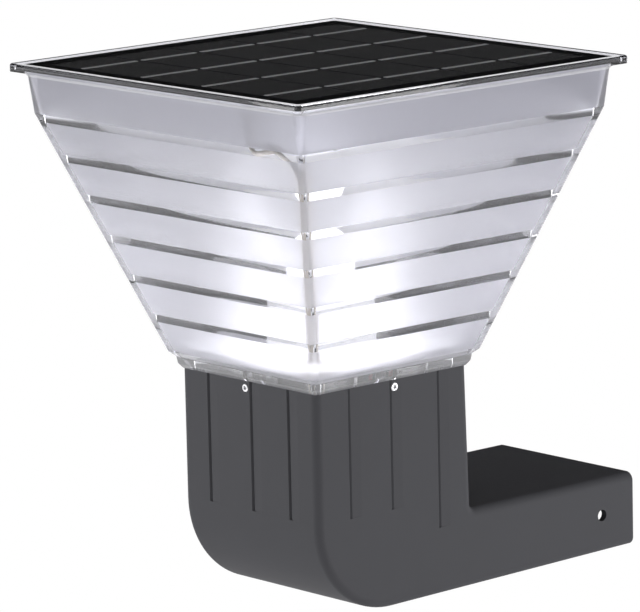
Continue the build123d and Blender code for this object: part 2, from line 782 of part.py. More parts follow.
outlet_front = outlet_place[1] - outlet_size[1] / 2
outlet_low = panel_floor + panel_gasket_height - outlet_size[2] / 2
wall_y = -(collar_inner(collar_low) - lead_wall_gap)
bend_height = collar_low - ledge_riser
corner_high = collar_low - ledge_pitch / 2
corner_low = skirt_height + ledge_pitch / 2
corner_high_half = shade_inner(corner_high) - lead_corner_gap
corner_low_half = shade_inner(corner_low) - lead_corner_gap
panel_lead = lead(
    at_head(outlet_place[0], outlet_front, outlet_low),
    (
        (at_head(outlet_place[0], outlet_front - panel_lead_drop, outlet_low), panel_lead_bend),
        (at_head(outlet_place[0] + outlet_size[0] / 2, wall_y, bend_height), lead_bend),
        (at_head(outlet_place[0] + outlet_size[0] + 8, wall_y + 1, bend_height + 3), panel_lead_bend),
        (at_head(corner_high_half, -corner_high_half, corner_high + 2), corner_bend),
        (at_head(corner_low_half, -corner_low_half, corner_low), tight_bend),
        (at_head(grommet_place, -grommet_place, seat_height + grommet_height + 2), tight_bend),
        (at_head(grommet_place, -grommet_place, -spigot_depth / 2), lead_bend),
        (at_head(grommet_place - 8, -2, -spigot_depth - 8), lead_bend),
        (above_plug(3, lead_rise), lead_bend),
    ),
    plug_end(3),
    panel_lead_diameter,
)

lamp_lead = lead(
    at_head(0, lamp_lead_place, tray_top),
    (
        (at_head(0, lamp_lead_place, -spigot_depth), lead_bend),
        (above_plug(2, lead_rise), lead_bend),
    ),
    plug_end(2),
    lead_diameter,
)

battery_end_x = -battery_length / 2
battery_turn_x = battery_end_x - battery_lead_reach
battery_lead = lead(
    at_head(battery_end_x, battery_y + battery_lead_side, battery_z),
    (
        (at_head(battery_turn_x, battery_y + battery_lead_side, battery_z), battery_lead_bend),
        (at_head(battery_turn_x, board_y - lead_rise, battery_z + 2), lead_bend),
        (at_head(socket_places[0][0] - socket_size[0], socket_y, plug_top + lead_rise - 4), tight_bend),
        (above_plug(0, lead_rise - 3), tight_bend),
    ),
    plug_end(0),
    lead_diameter,
)

terminal_top = switch_floor - column_top + housing_wall + switch_barrel_height + switch_case_height
gear_gap_y = (gear_plate_y + gear_plate_size[1] / 2 + hollow_half) / 2 + 1
switch_lead = lead(
    at_head(terminal_pitch / 2, switch_y, terminal_top + terminal_size[2]),
    (
        (at_head(terminal_pitch / 2, switch_y, terminal_top + terminal_size[2] + switch_lead_rise), lead_bend),
        (at_head(0, gear_gap_y, gear_plate_top - gear_plate_height - 6), lead_bend),
        (at_head(0, gear_gap_y, plug_top + 2), lead_bend),
        (above_plug(1, lead_rise), tight_bend),
    ),
    plug_end(1),
    lead_diameter,
)

os.makedirs("parts", exist_ok=True)
for block, name in (
    (housing, "housing"),
    (shade, "shade"),
    (shade_gasket, "shade_gasket"),
    (shade_screws, "shade_screws"),
    (panel_gasket, "panel_gasket"),
    (panel_board, "panel_board"),
    (solar_cells, "solar_cells"),
    (cell_ribbons, "cell_ribbons"),
    (panel_cover, "panel_cover"),
    (lead_outlet, "lead_outlet"),
    (lamp_tray, "lamp_tray"),
    (tray_screws, "tray_screws"),
    (lead_grommet, "lead_grommet"),
    (lamp_board, "lamp_board"),
    (lamp_chips, "lamp_chips"),
    (lamp_board_screws, "lamp_board_screws"),
    (gear_plate, "gear_plate"),
    (gear_plate_screws, "gear_plate_screws"),
    (battery_cell, "battery_cell"),
    (battery_strap, "battery_strap"),
    (strap_screws, "strap_screws"),
    (control_board, "control_board"),
    (control_board_screws, "control_board_screws"),
    (control_chips, "control_chips"),
    (lead_sockets, "lead_sockets"),
    (lead_plugs, "lead_plugs"),
    (switch_body, "switch_body"),
    (switch_seal, "switch_seal"),
    (switch_nut, "switch_nut"),
    (power_button, "power_button"),
):
    save(block, name)
for run, name in (
    (panel_lead, "panel_lead"),
    (lamp_lead, "lamp_lead"),
    (battery_lead, "battery_lead"),
    (switch_lead, "switch_lead"),
):
    run.label = name
    export_step(run, f"parts/{name}.step")
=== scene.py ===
import json
import math

import bmesh
import bpy
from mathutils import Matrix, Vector


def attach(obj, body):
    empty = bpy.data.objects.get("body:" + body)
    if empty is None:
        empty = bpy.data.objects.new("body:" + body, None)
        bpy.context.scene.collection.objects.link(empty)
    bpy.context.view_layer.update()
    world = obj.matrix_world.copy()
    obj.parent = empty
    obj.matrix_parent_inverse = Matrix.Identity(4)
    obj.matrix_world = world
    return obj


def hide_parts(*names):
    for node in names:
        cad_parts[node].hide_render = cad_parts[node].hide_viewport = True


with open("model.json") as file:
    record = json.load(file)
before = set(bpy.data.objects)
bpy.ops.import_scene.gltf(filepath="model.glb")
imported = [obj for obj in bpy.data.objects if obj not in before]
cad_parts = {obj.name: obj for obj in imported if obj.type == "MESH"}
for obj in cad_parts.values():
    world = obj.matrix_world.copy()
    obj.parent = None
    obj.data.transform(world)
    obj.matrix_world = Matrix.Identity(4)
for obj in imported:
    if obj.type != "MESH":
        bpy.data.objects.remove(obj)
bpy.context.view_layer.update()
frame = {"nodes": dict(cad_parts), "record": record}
nodes = frame["nodes"]
mm = 0.001


def boxOf(name):
    # the lowest and highest x, y and z of a CAD node
    corners = [nodes[name].matrix_world @ Vector(corner) for corner in nodes[name].bound_box]
    return [(min(axis), max(axis)) for axis in zip(*corners)]


headY = round(sum(boxOf("shade")[1]) / 2, 6)  # the column's axis
headZ = round(boxOf("housing")[2][1], 6)  # the column's top


# camera, at the photograph's angle
camera = {
    "azimuth": 48.582,
    "elevation": 11.519,
    "roll": -1.277,
    "distance": 2.1917,
    "lens": 288.84,
    "sensor": 36.0,
    "shiftX": -0.00645,
    "shiftY": 0.09354,
    "nearest": 0.05,
    "farthest": 60.0,
}


def wayOut(azimuth, elevation):
    # a unit vector away from the object, with azimuth 0 at the column's front
    turn, rise = math.radians(azimuth), math.radians(elevation)
    return Vector((math.sin(turn) * math.cos(rise), -math.cos(turn) * math.cos(rise), math.sin(rise)))


def addCamera(values):
    back = wayOut(values["azimuth"], values["elevation"])
    data = bpy.data.cameras.new("camera")
    data.lens = values["lens"]
    data.sensor_width = values["sensor"]
    data.shift_x = values["shiftX"]
    data.shift_y = values["shiftY"]
    data.clip_start = values["nearest"]
    data.clip_end = values["farthest"]
    cam = bpy.data.objects.new("camera", data)
    bpy.context.scene.collection.objects.link(cam)
    cam.rotation_euler = (-back).to_track_quat("-Z", "Y").to_matrix().to_euler()
    cam.rotation_euler.rotate_axis("Z", math.radians(values["roll"]))
    cam.location = Vector((0, headY, headZ)) + back * values["distance"]
    bpy.context.scene.camera = cam


addCamera(camera)
print("camera placed")


# small helpers for nodes, where a source is a plain value, or a node and the output to link
def feed(tree, source, node, name):
    if isinstance(source, tuple) and isinstance(source[0], bpy.types.Node):
        fromNode, fromName = source
        tree.links.new(fromNode.outputs[fromName], node.inputs[name])
    else:
        node.inputs[name].default_value = source


def feedAll(tree, node, sources):
    for name, source in sources.items():
        feed(tree, source, node, name)
    return node


def addNode(tree, kind, sources=None, **settings):
    node = tree.nodes.new(kind)
    for name, value in settings.items():
        setattr(node, name, value)
    return feedAll(tree, node, sources or {})


def addGroup(tree, group, sources):
    return addNode(tree, "ShaderNodeGroup", sources, node_tree=group)


def addMath(tree, operation, *sources, clamped=False):
    sources = dict(enumerate(sources))
    return addNode(tree, "ShaderNodeMath", sources, operation=operation, use_clamp=clamped), 0


def addRange(tree, source, fromRange=(0.0, 1.0), toRange=(0.0, 1.0), **settings):
    sources = {
        "Value": source,
        "From Min": fromRange[0],
        "From Max": fromRange[1],
        "To Min": toRange[0],
        "To Max": toRange[1],
    }
    return addNode(tree, "ShaderNodeMapRange", sources, **settings), "Result"


def addNoise(tree, sources):
    # noise on the piece's own coordinates
    place = addNode(tree, "ShaderNodeTexCoord")
    return addNode(tree, "ShaderNodeTexNoise", {"Vector": (place, "Object"), **sources}), "Fac"


def addRamp(tree, source, low, high):
    ramp = addNode(tree, "ShaderNodeValToRGB", {"Fac": source})
    ramp.color_ramp.elements[0].color = solid(low)
    ramp.color_ramp.elements[1].color = solid(high)
    return ramp, "Color"


def addFacingUp(tree, fromRange, toRange=(0.0, 1.0)):
    # high where the surface faces up
    flat = addNode(tree, "ShaderNodeNewGeometry")
    split = addNode(tree, "ShaderNodeSeparateXYZ", {0: (flat, "Normal")})
    return addRange(tree, (split, "Z"), fromRange, toRange)


def mixColors(tree, share, first, second):
    # the Mix node's colours are its inputs 6 and 7 and its output 2
    sources = {"Factor": share, 6: first, 7: second}
    return addNode(tree, "ShaderNodeMix", sources, data_type="RGBA"), 2


def scaleColor(tree, color, gain):
    node = addNode(tree, "ShaderNodeVectorMath", {0: color, "Scale": gain}, operation="SCALE")
    return node, "Vector"


def solid(color):
    return (*color, 1.0)


def newGroup(name, inputs, outputs):
    group = bpy.data.node_groups.new(name, "ShaderNodeTree")
    for label, value in inputs.items():
        kind = "NodeSocketColor" if isinstance(value, tuple) else "NodeSocketFloat"
        group.interface.new_socket(label, in_out="INPUT", socket_type=kind).default_value = value
    for label, kind in outputs.items():
        group.interface.new_socket(label, in_out="OUTPUT", socket_type=kind)
    return group, group.nodes.new("NodeGroupInput"), group.nodes.new("NodeGroupOutput")


# fine moulded or rubbery grain: a bump, a little colour shift and a little roughness shift
grainEffect = {
    "inputs": {
        "Color": (0.5, 0.5, 0.5, 1),
        "Grain Size": 2500.0,
        "Grain Depth": 0.2,
        "Mottle": 0.08,
        "Roughness": 0.5,
        "Roughness Shift": 0.08,
    },
    "fine": {"Detail": 3.0, "Roughness": 0.65},
    "cloud": {"Scale": 38.0, "Detail": 4.0, "Roughness": 0.6},
    "fineShare": 0.6,
    "bumpHeight": 0.0002,
}


def buildGrain(values):
    outputs = {"Color": "NodeSocketColor", "Roughness": "NodeSocketFloat", "Normal": "NodeSocketVector"}
    group, given, out = newGroup("mouldedGrain", values["inputs"], outputs)
    fine = addNoise(group, {"Scale": (given, "Grain Size"), **values["fine"]})
    cloud = addNoise(group, values["cloud"])
    bump = addNode(group, "ShaderNodeBump", {
        "Height": fine,
        "Strength": (given, "Grain Depth"),
        "Distance": values["bumpHeight"],
    })
    blended = addMath(group, "MULTIPLY_ADD", fine, values["fineShare"], cloud)
    centred = addMath(group, "SUBTRACT", blended, (1 + values["fineShare"]) / 2)
    gain = addMath(group, "MULTIPLY_ADD", centred, (given, "Mottle"), 1.0)
    rough = addMath(group, "MULTIPLY_ADD", centred, (given, "Roughness Shift"), (given, "Roughness"))
    tint = scaleColor(group, (given, "Color"), gain)
    feedAll(group, out, {"Color": tint, "Roughness": rough, "Normal": (bump, "Normal")})
    return group


# painted highlight: edges a little lighter, in broken patches, standing in for light caught along them
edgeHighlightEffect = {
    "inputs": {
        "Color": (0.5, 0.5, 0.5, 1),
        "Edge Color": (0.8, 0.8, 0.8, 1),
        "Width": 0.0006,
        "Amount": 0.5,
    },
    "turned": (0.995, 0.82),  # from a flat face to a full edge
    "patches": {"Scale": 320.0, "Detail": 3.0},
    "samples": 4,
}
maskOutputs = {"Color": "NodeSocketColor", "Mask": "NodeSocketFloat"}


def buildEdgeHighlight(values):
    group, given, out = newGroup("paintedEdgeHighlight", values["inputs"], maskOutputs)
    soft = addNode(group, "ShaderNodeBevel", {"Radius": (given, "Width")}, samples=values["samples"])
    flat = addNode(group, "ShaderNodeNewGeometry")
    normals = {0: (soft, "Normal"), 1: (flat, "Normal")}
    match = addNode(group, "ShaderNodeVectorMath", normals, operation="DOT_PRODUCT")
    edge = addRange(group, (match, "Value"), values["turned"])
    broken = addMath(group, "MULTIPLY", edge, addNoise(group, values["patches"]), clamped=True)
    amount = addMath(group, "MULTIPLY", broken, (given, "Amount"), clamped=True)
    color = mixColors(group, amount, (given, "Color"), (given, "Edge Color"))
    feedAll(group, out, {"Color": color, "Mask": amount})
    return group


# a thin settled dust on what faces up
dustEffect = {
    "inputs": {
        "Color": (0.5, 0.5, 0.5, 1),
        "Dust Color": (0.45, 0.44, 0.42, 1),
        "Amount": 0.1,
    },
    "facing": (0.4, 1.0),
    "specks": {"Scale": 900.0, "Detail": 5.0, "Roughness": 0.75},
    "speckRange": (0.45, 0.75),
}


def buildDust(values):
    group, given, out = newGroup("settledDust", values["inputs"], maskOutputs)
    up = addFacingUp(group, values["facing"])
    thin = addRange(group, addNoise(group, values["specks"]), values["speckRange"])
    both = addMath(group, "MULTIPLY", up, thin)
    amount = addMath(group, "MULTIPLY", both, (given, "Amount"), clamped=True)
    color = mixColors(group, amount, (given, "Color"), (given, "Dust Color"))
    feedAll(group, out, {"Color": color, "Mask": amount})
    return group


grainGroup = buildGrain(grainEffect)
edgeHighlightGroup = buildEdgeHighlight(edgeHighlightEffect)
dustGroup = buildDust(dustEffect)
print("shared effects built")


def newMaterial(name):
    material = bpy.data.materials.new(name)
    material.use_nodes = True
    tree = material.node_tree
    return material, tree, tree.nodes["Principled BSDF"]


def opaqueFinish(name, color, rough, grain=2500.0, depth=0.2, mottle=0.08, roughShift=0.08,
                 edge=None, edgeAmount=0.4, edgeWidth=0.0006, dust=0.0, specular=0.5, metallic=0.0):
    material, tree, surface = newMaterial(name)
    grained = addGroup(tree, grainGroup, {
        "Color": solid(color),
        "Grain Size": grain,
        "Grain Depth": depth,
        "Mottle": mottle,
        "Roughness": rough,
        "Roughness Shift": roughShift,
    })
    top = grained
    # painted highlight: the edges lighten towards the edge colour
    if edge:
        top = addGroup(tree, edgeHighlightGroup, {
            "Color": (top, "Color"),
            "Edge Color": solid(edge),
            "Width": edgeWidth,
            "Amount": edgeAmount,
        })
    if dust:
        top = addGroup(tree, dustGroup, {"Color": (top, "Color"), "Amount": dust})
    feedAll(tree, surface, {
        "Base Color": (top, "Color"),
        "Roughness": (grained, "Roughness"),
        "Normal": (grained, "Normal"),
        "Specular IOR Level": specular,
        "Metallic": metallic,
    })
    return material


# edge is the colour of a painted highlight along the edges
opaqueFinishes = {
    "housingGrey": dict(color=(0.079, 0.079, 0.087), rough=0.6, grain=2200.0, depth=0.25, mottle=0.1,
                        edge=(0.2, 0.2, 0.21), edgeAmount=0.5, dust=0.02, specular=0.12),
    "panelBack": dict(color=(0.012, 0.012, 0.014), rough=0.6, depth=0.15, mottle=0.2, specular=0.05),
    "sealPale": dict(color=(0.62, 0.62, 0.66), rough=0.6, grain=4000.0, depth=0.3, specular=0.3),
    "sealRubber": dict(color=(0.02, 0.02, 0.022), rough=0.75, grain=4000.0, depth=0.4, mottle=0.3,
                       specular=0.3),
    "greyRubber": dict(color=(0.1, 0.1, 0.11), rough=0.7, grain=4000.0, depth=0.4, mottle=0.2),
    "blackPlastic": dict(color=(0.02, 0.02, 0.022), rough=0.5, mottle=0.2, edge=(0.08, 0.08, 0.08)),
    "whitePlastic": dict(color=(0.85, 0.85, 0.86), rough=0.45, mottle=0.05),
    "nylonWhite": dict(color=(0.8, 0.79, 0.74), rough=0.45, mottle=0.05),
    "lampBoardWhite": dict(color=(0.86, 0.87, 0.89), rough=0.35, grain=6000.0, depth=0.1, mottle=0.05),
    "boardGreen": dict(color=(0.02, 0.12, 0.05), rough=0.35, grain=3000.0, depth=0.25, mottle=0.4),
    "chipBlack": dict(color=(0.015, 0.015, 0.017), rough=0.55, grain=5000.0, depth=0.3, mottle=0.2),
    "batteryWrap": dict(color=(0.03, 0.12, 0.35), rough=0.25, grain=500.0, depth=0.1, mottle=0.1),
    "buttonRubber": dict(color=(0.03, 0.03, 0.032), rough=0.65, grain=4000.0, depth=0.35, mottle=0.2,
                         edge=(0.1, 0.1, 0.1), dust=0.05),
    "leadBrown": dict(color=(0.68, 0.63, 0.55), rough=0.5, grain=3000.0, mottle=0.25),
    "leadRed": dict(color=(0.45, 0.02, 0.02), rough=0.45, grain=3000.0, mottle=0.15),
    "leadBlack": dict(color=(0.02, 0.02, 0.02), rough=0.5, grain=3000.0, mottle=0.2),
    "ribbonTin": dict(color=(0.9, 0.9, 0.92), rough=0.45, grain=1500.0, mottle=0.15, metallic=0.2),
    "stainless": dict(color=(0.72, 0.72, 0.74), rough=0.28, grain=9000.0, depth=0.1, mottle=0.1,
                      metallic=1.0),
}
finishes = {name: opaqueFinish(name, **values) for name, values in opaqueFinishes.items()}


# near-black cells with faint finger lines across them and a blue-violet cast
cells = {
    "dark": (0.004, 0.004, 0.008),
    "light": (0.007, 0.007, 0.012),
    "cloud": {"Scale": 60.0, "Detail": 3.0},
    "fingers": (0.014, 0.014, 0.022),
    "fingerScale": 105.0,
    "fingerRange": (0.93, 1.0),
    "rough": 0.2,
    "specular": 0.08,
}


def buildCells(values):
    material, tree, surface = newMaterial("cellBlack")
    place = addNode(tree, "ShaderNodeTexCoord")
    stripes = {"Vector": (place, "Object"), "Scale": values["fingerScale"]}
    lines = addNode(tree, "ShaderNodeTexWave", stripes, wave_type="BANDS", bands_direction="Y")
    sharp = addRange(tree, (lines, "Fac"), values["fingerRange"])
    cell = addRamp(tree, addNoise(tree, values["cloud"]), values["dark"], values["light"])
    feedAll(tree, surface, {
        "Base Color": mixColors(tree, sharp, cell, solid(values["fingers"])),
        "Roughness": values["rough"],
        "Specular IOR Level": values["specular"],
    })
    return material


# lit lamp chips: a bright phosphor face in a white frame
chips = {
    "frame": (0.95, 0.93, 0.85),
    "frameRough": 0.4,
    "facing": (0.6, 0.9),
    "sideGlow": 0.25,
    "phosphor": ((0.95, 0.92, 0.98), (1.0, 0.98, 1.0)),
    "cloud": {"Scale": 700.0, "Detail": 2.0},
    "strength": 20.0,
}


def buildChips(values):
    material, tree, surface = newMaterial("lampChip")
    up = addFacingUp(tree, values["facing"], (values["sideGlow"], 1.0))
    phosphor = addRamp(tree, addNoise(tree, values["cloud"]), *values["phosphor"])
    feedAll(tree, surface, {
        "Base Color": solid(values["frame"]),
        "Roughness": values["frameRough"],
        "Emission Color": scaleColor(tree, phosphor, up),
        "Emission Strength": values["strength"],
    })
    return material


# a thin clear film over the cells, nearly all see-through
cover = {
    "color": (0.02, 0.02, 0.024),
    "alpha": 0.1,
    "rough": (0.05, 0.12),
    "cloud": {"Scale": 90.0, "Detail": 3.0},
}


def buildCover(values):
    material, tree, surface = newMaterial("panelClear")
    feedAll(tree, surface, {
        "Base Color": solid(values["color"]),
        "Roughness": addRange(tree, addNoise(tree, values["cloud"]), toRange=values["rough"]),
        "Alpha": values["alpha"],
    })
    return material


finishes["cellBlack"] = buildCells(cells)
finishes["panelClear"] = buildCover(cover)
finishes["lampChip"] = buildChips(chips)


def clearFinish(name, color, rough, ripple, roughShift=0.04, rippleDepth=0.00002, through=1.0, ior=1.49):
    # through is the share of the light that goes through, and the rest is a milky surface
    material, tree, surface = newMaterial(name)
    wave = addNoise(tree, {"Scale": ripple, "Detail": 2.0})
    bump = addNode(tree, "ShaderNodeBump", {"Height": wave, "Distance": rippleDepth, "Strength": 1.0})
    feedAll(tree, surface, {
        "Base Color": solid(color),
        "Roughness": addRange(tree, wave, toRange=(rough - roughShift, rough + roughShift)),
        "Normal": (bump, "Normal"),
        "IOR": ior,
        "Transmission Weight": through,
    })
    return material


clearFinishes = {
    "shadeClear": dict(color=(0.955, 0.955, 1.0), rough=0.04, roughShift=0.02, ripple=60.0),
    # the collar is rough like a frosted band, and tinted darker as painted shade for the grey seen
    # through it
    "shadeCollar": dict(color=(0.6, 0.6, 0.66), rough=0.4, ripple=400.0),
    "shadeFoot": dict(color=(0.93, 0.93, 0.97), rough=0.08, roughShift=0.03, ripple=200.0, through=0.74),
    "shadeCove": dict(color=(0.95, 0.95, 0.99), rough=0.45, ripple=400.0, through=0.6),
    "shadeFrosted": dict(color=(0.96, 0.96, 1.0), rough=0.93, ripple=2600.0, rippleDepth=0.00004),
}
finishes.update({name: clearFinish(name, **values) for name, values in clearFinishes.items()})
print("finishes made:", len(finishes))


# the carried-over CAD nodes take these finishes by the record's slot
slotFinish = {
    "housing_grey": "housingGrey",
    "clear_plastic": "shadeClear",
    "seal_rubber": "sealRubber",
    "silicone_pale": "sealPale",
    "steel": "stainless",
    "panel_back": "panelBack",
    "cell_black": "cellBlack",
    "ribbon_tin": "ribbonTin",
    "panel_clear": "panelClear",
    "black_plastic": "blackPlastic",
    "white_plastic": "whitePlastic",
    "grey_rubber": "greyRubber",
    "lamp_board_white": "lampBoardWhite",
    "lamp_chip": "lampChip",
    "battery_wrap": "batteryWrap",
    "board_green": "boardGreen",
    "chip_black": "chipBlack",
    "nylon_white": "nylonWhite",
    "button_rubber": "buttonRubber",
    "lead_brown": "leadBrown",
    "lead_red": "leadRed",
    "lead_black": "leadBlack",
}
for part in frame["record"]["subparts"]:
    mesh = nodes[part["node"]].data
    mesh.materials.clear()
    mesh.materials.append(finishes[slotFinish[part["material_slot"]]])
print("CAD nodes finished:", len(nodes))


# shade: one clear moulding with frosted faces between its inner ledges
# in mm, with widths counted from the column's axis and heights from the column's top
shade = {
    "corner": 1.6,
    "cornerSteps": 6,
    "spigotHalf": 39.9,
    "spigotInner": 37.5,
    "spigotDrop": 12.0,
    "wall": 2.7,
    "foot": ((43.3, 0.0), (44.7, 2.0), (45.2, 5.0), (47.5, 7.1)),  # half width and height of each
    "facesTop": (85.7, 110.6),
    "collarTop": (88.9, 128.7),
    "collarCorner": 5.6,
    "cove": 2.6,
    "coveSteps": 4,
    "rimHalf": 93.0,
    "rimCorner": 2.5,
    "rimTop": 132.1,
    "rimRound": 1.0,
    "rimSteps": 3,
    "recessHalf": 90.25,
    "recessCorner": 1.45,
    "recessFloor": 129.5,
    "ledges": 6,
    "riser": 3.5,
    "seat": (43.7, 4.6),
    "seatRise": 3.4,
    "boss": (7.0, 4.5, 14.6),  # width, depth, height
    "bossPlaces": ((-1.8, -35.25), (-1.8, 35.25), (35.25, 1.25), (-35.25, 1.25)),  # x, y
    "bossOverlap": 0.4,
    "bossClearance": 0.02,
    "screwDrop": 3.2,
    "screwShift": 5.0,  # out from the boss, so that the hole goes through the wall too
    "screwHole": (2.5, 11.1, 24),  # width, depth, sides
    "trayScrews": ((40.6, 20), (40.6, -20), (-40.6, 20), (-40.6, -20)),
    "trayHole": (1.8, 7.2, 16),
    "edgeRound": 0.22,
    "edgeSteps": 2,
    "edgeAngle": 14,
    "smoothAngle": 40,
    "frostTilt": (0.25, 0.5),  # how far the frosted faces look up
    "coveMargin": 0.1,
}


def atHead(x, y, z):
    return Vector((x * mm, headY + y * mm, headZ + z * mm))


def selectOnly(piece):
    bpy.ops.object.select_all(action="DESELECT")
    piece.select_set(True)
    bpy.context.view_layer.objects.active = piece


def selectFaces(piece, test):
    # in edit mode: selects only the faces that pass the test
    bpy.ops.mesh.select_mode(type="FACE")
    bpy.ops.mesh.select_all(action="DESELECT")
    mesh = bmesh.from_edit_mesh(piece.data)
    for face in mesh.faces:
        if test(face):
            face.select = True
    mesh.select_flush_mode()
    bmesh.update_edit_mesh(piece.data)


def applyModifiers(piece):
    bpy.context.view_layer.objects.active = piece
    for modifier in list(piece.modifiers):
        bpy.ops.object.modifier_apply(modifier=modifier.name)


def cutOrJoin(piece, other, operation):
    modifier = piece.modifiers.new(operation.lower(), "BOOLEAN")
    modifier.operation = operation
    modifier.object = other
    modifier.solver = "EXACT"
    applyModifiers(piece)
    bpy.data.objects.remove(other)


def settle(piece, body, slot, *replaced):
    # the place goes into the mesh, and the piece rides where it belongs
    selectOnly(piece)
    bpy.ops.object.transform_apply(location=True, rotation=True, scale=True)
    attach(piece, body)
    if replaced:
        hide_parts(*replaced)


def growRing(piece, last, half, corner, height):
    # extrudes the open ring of a rounded square and moves its four corners out to the next size
    bpy.ops.mesh.extrude_region_move()
    mesh = bmesh.from_edit_mesh(piece.data)
    ring = [v.index for v in mesh.verts if v.select]
    lastHalf, lastCorner, lastHeight = last
    reach = lastHalf - lastCorner
    shift = (half - corner - reach) * mm
    grow = corner / lastCorner
    for sideX in (-1, 1):
        for sideY in (-1, 1):
            mesh = bmesh.from_edit_mesh(piece.data)
            mesh.verts.ensure_lookup_table()
            bpy.ops.mesh.select_all(action="DESELECT")
            for index in ring:
                v = mesh.verts[index]
                v.select = v.co.x * sideX > 0 and v.co.y * sideY > 0
            mesh.select_flush_mode()
            if corner != lastCorner:
                middle = atHead(sideX * reach, sideY * reach, lastHeight)
                bpy.ops.transform.resize(value=(grow, grow, 1), center_override=middle)
            move = (sideX * shift, sideY * shift, (height - lastHeight) * mm)
            bpy.ops.transform.translate(value=move)
    mesh = bmesh.from_edit_mesh(piece.data)
    mesh.verts.ensure_lookup_table()
    for index in ring:
        mesh.verts[index].select = True
    mesh.select_flush_mode()
    bmesh.update_edit_mesh(piece.data)
    return half, corner, height


def shadeRings(values):
    # (half width, corner, height) up the outside and down the inside, from the spigot's foot
    corner, wall = values["corner"], values["wall"]
    skirtHalf, skirtTop = values["foot"][-1]
    topHalf, topHeight = values["facesTop"]
    collarHalf, collarTop = values["collarTop"]
    slope = (topHalf - skirtHalf) / (topHeight - skirtTop)
    flare = (collarHalf - topHalf) / (collarTop - topHeight)

    def inner(height):
        return skirtHalf + slope * (height - skirtTop) - wall

    rings = [(values["spigotHalf"], corner, 0.0)]
    rings += [(half, corner, height) for half, height in values["foot"]]
    rings.append((topHalf, corner, topHeight))

    # the cove rounds out to the rim's underside, while its corners tighten to the rim's
    lean = math.atan(flare)
    cove = values["cove"]
    coveHeight = collarTop - cove
    coveMiddle = topHalf + flare * (coveHeight - topHeight) + cove / math.cos(lean)
    for step in range(values["coveSteps"] + 1):
        share = step / values["coveSteps"]
        turn = math.pi - lean + share * (lean - math.pi / 2)
        half = coveMiddle + cove * math.cos(turn)
        cornerHere = values["collarCorner"] + share * (values["rimCorner"] - values["collarCorner"])
        rings.append((half, cornerHere, coveHeight + cove * math.sin(turn)))

    rimHalf, rimCorner, rimTop = values["rimHalf"], values["rimCorner"], values["rimTop"]
    rings.append((rimHalf, rimCorner, collarTop))
    rings.append((rimHalf, rimCorner, rimTop - values["rimRound"]))
    for step in range(1, values["rimSteps"] + 1):
        turn = step / values["rimSteps"] * math.pi / 2
        inset = values["rimRound"] * (1 - math.cos(turn))
        rise = values["rimRound"] * (math.sin(turn) - 1)
        rings.append((rimHalf - inset, rimCorner - inset, rimTop + rise))

    floor = values["recessFloor"]
    rings.append((values["recessHalf"], values["recessCorner"], rimTop))
    rings.append((values["recessHalf"], values["recessCorner"], floor))
    rings.append((topHalf + flare * (floor - topHeight) - wall, values["collarCorner"] - wall, floor))
    rings.append((topHalf - wall, corner, topHeight))

    # each tier steps in at its top, and goes down by an upright riser and then by a slanting face
    seatHalf, seatHeight = values["seat"]
    pitch = (topHeight - skirtTop) / values["ledges"]
    for step in reversed(range(values["ledges"])):
        low = skirtTop + step * pitch
        riserLow = low + pitch - values["riser"]
        start = low if step else seatHeight + values["seatRise"]
        rings.append((inner(riserLow), corner, low + pitch))
        rings.append((inner(riserLow), corner, riserLow))
        rings.append((inner(start), corner, start))
    rings.append((seatHalf, corner, seatHeight))
    rings.append((values["spigotInner"], corner, seatHeight))
    rings.append((values["spigotInner"], corner, -values["spigotDrop"]))
    return rings


def growWalls(values):
    # a rounded square at the spigot's foot goes up the outside, over the rim and down the inside
    half, corner, foot = values["spigotHalf"], values["corner"], -values["spigotDrop"]
    bpy.ops.object.select_all(action="DESELECT")
    bpy.ops.mesh.primitive_plane_add(size=2 * half * mm, location=atHead(0, 0, foot))
    piece = bpy.context.object
    selectOnly(piece)
    piece.name = piece.data.name = "shadeMoulding"
    bpy.ops.object.mode_set(mode="EDIT")
    bpy.ops.mesh.bevel(offset=corner * mm, segments=values["cornerSteps"], affect="VERTICES")
    bpy.ops.mesh.delete(type="ONLY_FACE")
    bpy.ops.mesh.select_all(action="SELECT")
    last = (half, corner, foot)
    for ring in shadeRings(values):
        last = growRing(piece, last, *ring)
    bpy.ops.mesh.select_all(action="DESELECT")
    bpy.ops.mesh.select_mode(type="EDGE")
    bpy.ops.mesh.select_non_manifold()
    bpy.ops.mesh.bridge_edge_loops()
    bpy.ops.mesh.select_all(action="SELECT")
    bpy.ops.mesh.normals_make_consistent(inside=False)
    bpy.ops.object.mode_set(mode="OBJECT")
    bpy.ops.object.transform_apply(location=True)
    return piece


def addBosses(piece, values):
    width, depth, height = values["boss"]
    depth += values["bossOverlap"]  # into the spigot's wall
    for x, y in values["bossPlaces"]:
        bpy.ops.object.select_all(action="DESELECT")
        middle = atHead(x, y, values["seat"][1] - height / 2)
        bpy.ops.mesh.primitive_cube_add(size=1, location=middle)
        boss = bpy.context.object
        sides = (width, depth) if abs(y) > abs(x) else (depth, width)
        boss.scale = Vector((*sides, height - values["bossClearance"])) * mm
        cutOrJoin(piece, boss, "UNION")


def drillHole(piece, middle, way, size):
    width, depth, sides = size
    bpy.ops.object.select_all(action="DESELECT")
    bpy.ops.mesh.primitive_cylinder_add(
        vertices=sides, radius=width / 2 * mm, depth=depth * mm, location=middle)
    hole = bpy.context.object
    hole.rotation_euler = way.to_track_quat("Z", "Y").to_euler()
    cutOrJoin(piece, hole, "DIFFERENCE")


def drillHoles(piece, values):
    # for the four screws through the column, then for the lamp tray's screws
    for x, y in values["bossPlaces"]:
        way = Vector((0, y, 0)) if abs(y) > abs(x) else Vector((x, 0, 0))
        middle = atHead(x, y, -values["screwDrop"]) + way.normalized() * values["screwShift"] * mm
        drillHole(piece, middle, way, values["screwHole"])
    for x, y in values["trayScrews"]:
        drillHole(piece, atHead(x, y, values["seat"][1]), Vector((0, 0, 1)), values["trayHole"])


